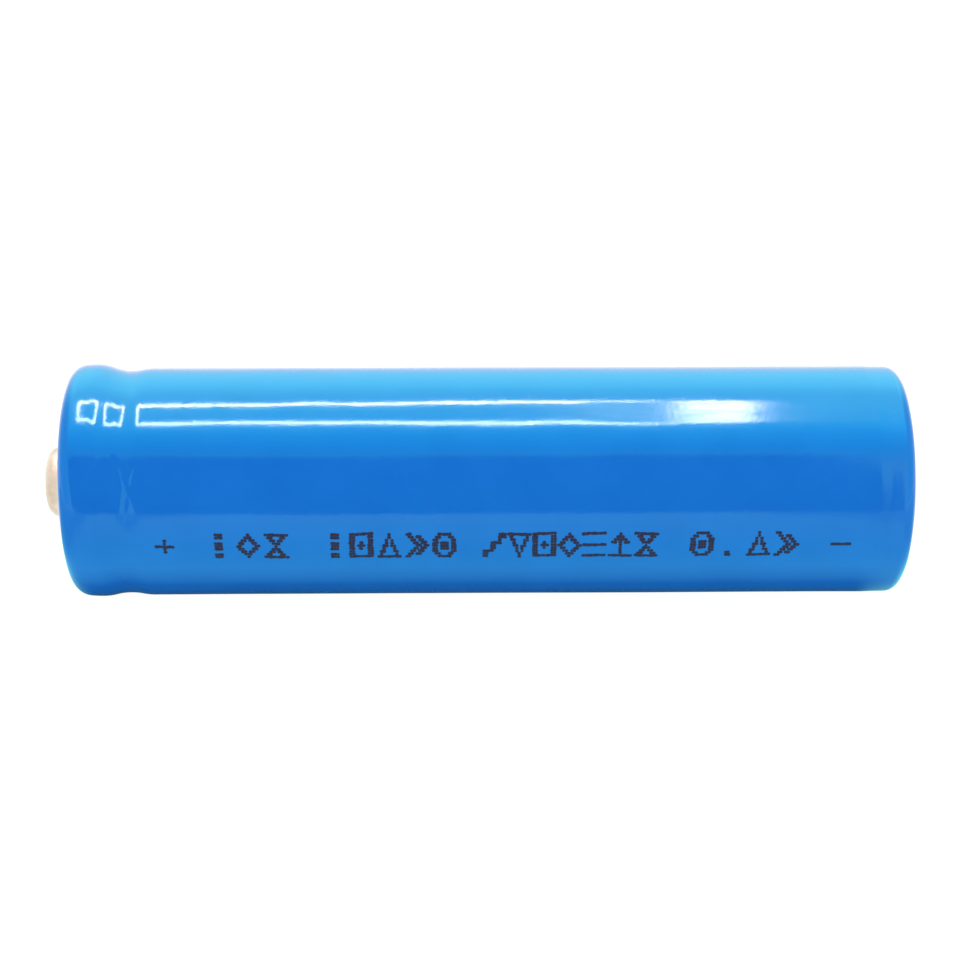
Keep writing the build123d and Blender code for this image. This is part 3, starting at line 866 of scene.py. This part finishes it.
def lamp_end(name, near, far):
    near_middle, far_middle = (towards(angle, LAMP_DISTANCE) for _, angle in (near, far))
    bar = quad(name, [along(near_middle, near[0] - BAR), along(near_middle, near[0] + BAR),
                      along(far_middle, far[0] + BAR), along(far_middle, far[0] - BAR)])
    give(bar, Glow(name + "_glow", END_STRENGTH, LAMP_COLOUR).material)
    only_in_gloss(bar)


lamp_bar("studio_lamp_near", LAMP_NEAR)
lamp_bar("studio_lamp_far", LAMP_FAR)
lamp_end("studio_lamp_left", LAMP_NEAR[0], LAMP_FAR[0])
lamp_end("studio_lamp_right", LAMP_NEAR[-1], LAMP_FAR[-1])

# Lit panel inside the frame, bright at its left and patchy towards its right
PANEL_LEFT, PANEL_RIGHT = 10.5, 44
PANEL_DISTANCE = 60
PANEL_NEAR_ANGLE, PANEL_FAR_ANGLE = 84.6, 109.2
PANEL_LEVELS = [(0.0, 0.0), (0.16, 0.02), (0.26, 0.06), (0.34, 0.80), (0.47, 1.0), (0.53, 0.28),
                (0.60, 0.05), (1.0, 0.0)]
PANEL_DIM, PANEL_BRIGHT = (1.7, 5.0, 3.6, 1), (60, 29, 28, 1)
PANEL_PATCH_STRETCH = (2.4, 0.9, 0.9)
panel_near = towards(PANEL_NEAR_ANGLE, PANEL_DISTANCE)
panel_far = towards(PANEL_FAR_ANGLE, PANEL_DISTANCE)
panel = quad("studio_lamp_panel", [along(panel_near, PANEL_LEFT), along(panel_near, PANEL_RIGHT),
                                   along(panel_far, PANEL_RIGHT), along(panel_far, PANEL_LEFT)])
panel_glow = Glow("lamp_panel_glow")
panel_place = panel_glow.where()
panel_ends = [(MIDDLE_X + end) * MM for end in (PANEL_LEFT, PANEL_RIGHT)]
panel_run = panel_glow.remap(panel_glow.axis(panel_place, "X"), panel_ends)
panel_level = panel_glow.node("ShaderNodeFloatCurve", {"Value": panel_run})
level_points = panel_level.mapping.curves[0].points
for at, level in PANEL_LEVELS[1:-1]:
    level_points.new(at, level)
for point, (at, level) in zip(level_points, PANEL_LEVELS):
    point.location = (at, level)
panel_level.mapping.update()
panel_grain = panel_glow.node("ShaderNodeMapping", {"Vector": panel_place, "Scale": PANEL_PATCH_STRETCH})
panel_patch = panel_glow.node("ShaderNodeTexNoise", {"Vector": panel_grain.outputs["Vector"],
                                                     "Scale": 240, "Detail": 4})
panel_mottle = panel_glow.remap(panel_patch.outputs["Fac"], (0.38, 0.62), (0.50, 1.8))
panel_share = panel_glow.math("MULTIPLY", panel_level.outputs["Value"], panel_mottle, clamp=True)
panel_colour = panel_glow.mix(panel_share, PANEL_DIM, PANEL_BRIGHT)
wire(panel_glow.tree, panel_glow.shader.inputs["Color"], panel_colour)
give(panel, panel_glow.material)
only_in_gloss(panel)

# Pale tents round the button and over the negative contact, which only their metal mirrors
TENT_SIDES = 32
TENT_COLOUR = (0.98, 1.0, 1.0, 1)


def tent(name, radius, mouth_x, back_x, strength):
    """A short tube with a closed back, lit evenly."""
    turns = 2 * math.pi * np.arange(TENT_SIDES) / TENT_SIDES
    points = [(x, radius * math.cos(a), radius * math.sin(a)) for x in (mouth_x, back_x) for a in turns]
    faces = [(k, (k + 1) % TENT_SIDES, TENT_SIDES + (k + 1) % TENT_SIDES, TENT_SIDES + k)
             for k in range(TENT_SIDES)]
    faces.append(tuple(range(TENT_SIDES, 2 * TENT_SIDES)))
    shell = new_mesh(name, points, faces)
    give(shell, Glow(name + "_glow", strength, TENT_COLOUR).material)
    only_in_gloss(shell)


tent("studio_button_tent", 5.0, -67.45, -76.0, 1.45)
tent("studio_contact_tent", 6.8, 0.35, 14.0, 1.20)

# The paper and the cell's own shade on it, as the film's underside mirrors them
SHADE_LEFT, SHADE_RIGHT, SHADE_FRONT, SHADE_BACK = -190, 120, -170, 9
SHADE_FLOOR_GAP = 0.05
SHADE_EDGE = (-11.5, -7.0)
SHADE_ENDS = ((-72.0, -66.0), (3.0, -3.0))
SHADE_LEVEL = 0.06
PAPER_ENDS, PAPER_END_LEVEL = ((-78.0, -70.0), (13.0, 5.0)), 0.55
PAPER_FAR_Y = -60.0
PAPER_TONES = [(0.0, (1.30, 1.60, 1.05, 1)), (0.50, (0.95, 1.60, 1.20, 1)),
               (0.81, (0.50, 1.60, 1.40, 1))]
shade_z = FLOOR_Z + SHADE_FLOOR_GAP
shade = quad("studio_shade", [(SHADE_LEFT, SHADE_FRONT, shade_z), (SHADE_RIGHT, SHADE_FRONT, shade_z),
                              (SHADE_RIGHT, SHADE_BACK, shade_z), (SHADE_LEFT, SHADE_BACK, shade_z)])
shade_glow = Glow("shade_tone")
shade_x, shade_y = (shade_glow.axis(shade_glow.where(), name) for name in "XY")


def over(place_mm, ends, levels=(0.0, 1.0)):
    """A level that runs between two places given in mm."""
    return shade_glow.remap(place_mm, [end * MM for end in ends], levels)


shade_tone = shade_glow.ramp(over(shade_y, (PAPER_FAR_Y, 0.0)), PAPER_TONES)
wire(shade_glow.tree, shade_glow.shader.inputs["Color"], shade_tone)
shade_share = over(shade_y, SHADE_EDGE)
for ends in SHADE_ENDS:
    shade_share = shade_glow.math("MULTIPLY", shade_share, over(shade_x, ends))
shade_level = shade_glow.remap(shade_share, (0.0, 1.0), (1.0, SHADE_LEVEL))
for ends in PAPER_ENDS:
    paper_level = over(shade_x, ends, (PAPER_END_LEVEL, 1.0))
    shade_level = shade_glow.math("MULTIPLY", shade_level, paper_level)
wire(shade_glow.tree, shade_glow.shader.inputs["Strength"], shade_level)
give(shade, shade_glow.material)
only_in_gloss(shade)

# World: even light for the floor and for colour; a graded room for reflections
ROOM_PEAK = 7.0
ROOM = [  # angle round X from level in front, then red, green and blue
    (0, 1.3, 1.6, 0.9), (40, 1.2, 1.6, 0.7), (54, 0.6, 1.4, 0.7), (62, 0.15, 1.7, 1.7),
    (76, 0.4, 3.0, 3.0), (88, 0.9, 4.6, 4.2), (105, 1.6, 5.0, 3.5), (127, 1.5, 4.6, 3.3),
    (140, 1.5, 5.0, 3.8), (156, 1.2, 3.7, 3.0), (170, 1.1, 2.3, 1.9), (180, 1.0, 1.8, 1.5),
]
ROOM_SIDES = (0.50, 1.25, 1.20)
ROOM_EVEN = (1.66, 1.66, 1.66)
SIDE_BAND = (0.40, 0.80)


def room_tone(colour):
    return (*(value / ROOM_PEAK for value in colour), 1)


world = bpy.data.worlds.new("studio_world")
bpy.context.scene.world = world
world.use_nodes = True
world.node_tree.nodes.clear()
room = Nodes(world.node_tree)
along_x, along_y, along_z = (room.axis(room.where("Generated"), name) for name in "XYZ")
height = room.math("ARCTAN2", along_z, room.math("MULTIPLY", along_y, -1))
graded = room.ramp(room.remap(height, (0, math.pi)),
                   [(angle / 180, room_tone(colour)) for angle, *colour in ROOM])
to_side = room.remap(room.math("ABSOLUTE", along_x), SIDE_BAND, interpolation_type="SMOOTHSTEP")
mirrored = room.mix(to_side, graded, room_tone(ROOM_SIDES))
glossy_ray = room.node("ShaderNodeLightPath").outputs["Is Glossy Ray"]
background = room.node("ShaderNodeBackground", {"Color": room.mix(glossy_ray, room_tone(ROOM_EVEN), mirrored),
                                                "Strength": ROOM_PEAK})
room.node("ShaderNodeOutputWorld", {"Surface": background.outputs["Background"]})

# ---------------------------------------------------------------------------
# Camera: a close lens, 30 degrees above level
# ---------------------------------------------------------------------------
CAMERA_DISTANCE = 167.2
CAMERA_HEIGHT_ANGLE = 30.0
CAMERA_TURN = -1.07
CAMERA_ROLL = -0.22
CAMERA_LENS = 76.45
AIM_LEFT = 0.484

camera_data = bpy.data.cameras.new("studio_camera")
camera_data.lens = CAMERA_LENS
camera_data.sensor_width = 36
camera_data.clip_start = 0.01
camera_data.clip_end = 20
camera = bpy.data.objects.new("studio_camera", camera_data)
bpy.context.scene.collection.objects.link(camera)
bpy.context.scene.camera = camera
lift, turned = math.radians(CAMERA_HEIGHT_ANGLE), math.radians(CAMERA_TURN)
away = Vector((math.sin(turned) * math.cos(lift), -math.cos(turned) * math.cos(lift), math.sin(lift)))
target = Vector((MIDDLE_X, 0, 0)) * MM
camera.location = target + away * CAMERA_DISTANCE * MM
aim = target - Vector((AIM_LEFT, 0, 0)) * MM
view_turn = (aim - camera.location).to_track_quat("-Z", "Y").to_matrix()
camera.rotation_euler = (view_turn @ Matrix.Rotation(math.radians(-CAMERA_ROLL), 3, "Z")).to_euler()

bpy.context.scene.view_settings.view_transform = "Standard"

bpy.context.view_layer.update()
